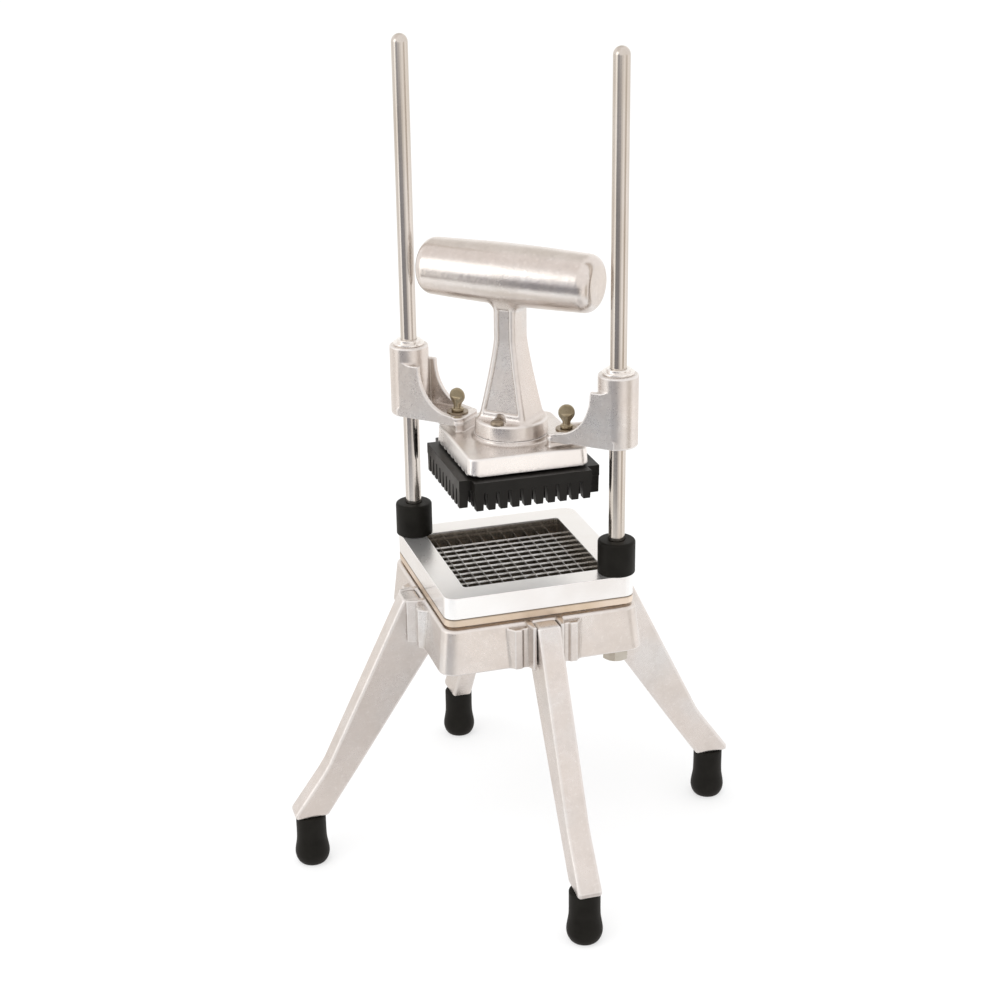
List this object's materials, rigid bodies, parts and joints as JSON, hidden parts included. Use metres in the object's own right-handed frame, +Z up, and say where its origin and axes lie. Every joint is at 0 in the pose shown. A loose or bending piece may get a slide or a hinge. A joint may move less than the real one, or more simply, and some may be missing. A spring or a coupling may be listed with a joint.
{
  "type": "french fry cutter",
  "caption": "Free-standing push-down cutter: four-legged cast base, crossed blade cartridge, guide rods and a sliding T-handle head with a pusher block.",
  "frame": {"origin": "on the table plane, in the middle of the four feet", "axes": "+Z up along the guide rods; +X towards the right-hand foot; -Y towards the front foot; the guide rods stand at the back-left and front-right corners"},
  "size_m": [0.3792, 0.3792, 0.6547],
  "materials": {
    "cast_aluminium": "satin, vibratory-tumbled sand casting with fine grain",
    "polished_aluminium": "machined and buffed bright",
    "tan_aluminium": "machined flat, slightly warm",
    "rod_steel": "ground bright bar",
    "dull_steel": "dull olive plated",
    "zinc_steel": "zinc plated",
    "blade_steel": "ground stainless",
    "bushing_metal": "machined",
    "insert_brass": "turned",
    "thumb_bronze": "dark olive bronze, satin",
    "pusher_plastic": "moulded, semi-matt",
    "foot_rubber": "moulded rubber, matt with a soft sheen"
  },
  "bodies": {
    "base": {"base_casting": "cast_aluminium", "leg_front": "cast_aluminium", "leg_right": "cast_aluminium", "leg_back": "cast_aluminium", "leg_left": "cast_aluminium", "foot_front": "foot_rubber", "foot_right": "foot_rubber", "foot_back": "foot_rubber", "foot_left": "foot_rubber", "leg_bolts": "zinc_steel", "leg_bolt_washers": "zinc_steel", "guide_rod_left": "rod_steel", "guide_rod_right": "rod_steel", "rod_nuts": "dull_steel", "rod_washers": "dull_steel", "rod_jam_nuts": "zinc_steel", "bumper_left": "foot_rubber", "bumper_right": "foot_rubber", "blade_frame_lower": "tan_aluminium", "blade_frame_upper": "polished_aluminium", "frame_screws": "zinc_steel", "corner_bolts": "zinc_steel", "corner_bolt_washers": "zinc_steel", "blades_lengthwise": "blade_steel", "blades_crosswise": "blade_steel"},
    "head": {"head_casting": "cast_aluminium", "t_handle": "cast_aluminium", "handle_screws": "dull_steel", "bushing_upper_left": "bushing_metal", "bushing_upper_right": "bushing_metal", "bushing_lower_left": "bushing_metal", "bushing_lower_right": "bushing_metal", "pusher_block": "pusher_plastic", "pusher_inserts": "insert_brass"},
    "washer_left": {"thumb_washer_left": "dull_steel"},
    "washer_right": {"thumb_washer_right": "dull_steel"},
    "screw_left": {"thumb_screw_left": "thumb_bronze"},
    "screw_right": {"thumb_screw_right": "thumb_bronze"}
  },
  "joints": [
    {"name": "head_slide", "type": "slide", "parent": "base", "child": "head", "axis": [0, 0, 1], "range_m": [-0.077, 0.215]},
    {"name": "washer_left_lift", "type": "slide", "parent": "head", "child": "washer_left", "axis": [0, 0, 1], "range_m": [0, 0.00698]},
    {"name": "screw_left_turn", "type": "hinge", "parent": "washer_left", "child": "screw_left", "pos_m": [-0.03394, 0.03394, 0.3642], "axis": [0, 0, 1], "range_deg": [0, 1980]},
    {"name": "washer_right_lift", "type": "slide", "parent": "head", "child": "washer_right", "axis": [0, 0, 1], "range_m": [0, 0.00698]},
    {"name": "screw_right_turn", "type": "hinge", "parent": "washer_right", "child": "screw_right", "pos_m": [0.03394, -0.03394, 0.3642], "axis": [0, 0, 1], "range_deg": [0, 1980]}
  ],
  "couplings": [
    {"joint": "screw_left_turn", "follows": "washer_left_lift", "rad_per_m": 4947.4},
    {"joint": "screw_right_turn", "follows": "washer_right_lift", "rad_per_m": 4947.4}
  ]
}
